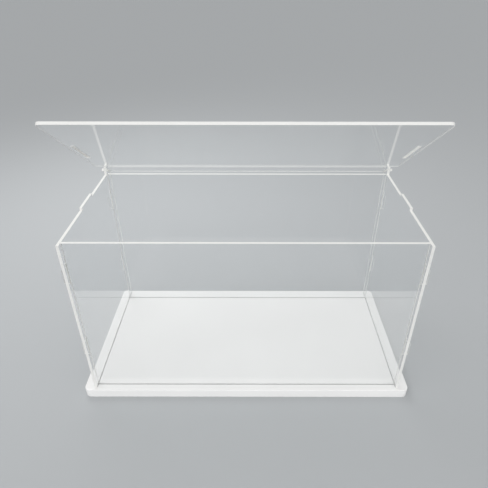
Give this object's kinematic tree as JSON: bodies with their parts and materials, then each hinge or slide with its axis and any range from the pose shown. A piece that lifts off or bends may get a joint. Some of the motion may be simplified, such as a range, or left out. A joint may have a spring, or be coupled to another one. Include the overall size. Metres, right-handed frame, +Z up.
{
  "type": "hinged display case",
  "caption": "Clear rectangular display case on a white base, with a flip-up lid that turns on lugs in the side walls.",
  "frame": {"origin": "centre of the underside of the base, which is the plane that the case stands on", "axes": "+X to the right along the case's width, +Y to the rear where the hinge is, +Z up"},
  "size_m": [0.384, 0.19, 0.3209],
  "materials": {
    "clear_acrylic": "clear, polished faces with bright laser-cut edges",
    "white_base": "smooth satin white"
  },
  "bodies": {
    "case": {"base": "white_base", "front_panel": "clear_acrylic", "back_panel": "clear_acrylic", "left_side_panel": "clear_acrylic", "right_side_panel": "clear_acrylic"},
    "lid": {"lid": "clear_acrylic"}
  },
  "joints": [
    {"name": "lid_hinge", "type": "hinge", "parent": "case", "child": "lid", "pos_m": [0, 0.0864, 0.2137], "axis": [-1, 0, 0], "range_deg": [-36, 218]}
  ]
}
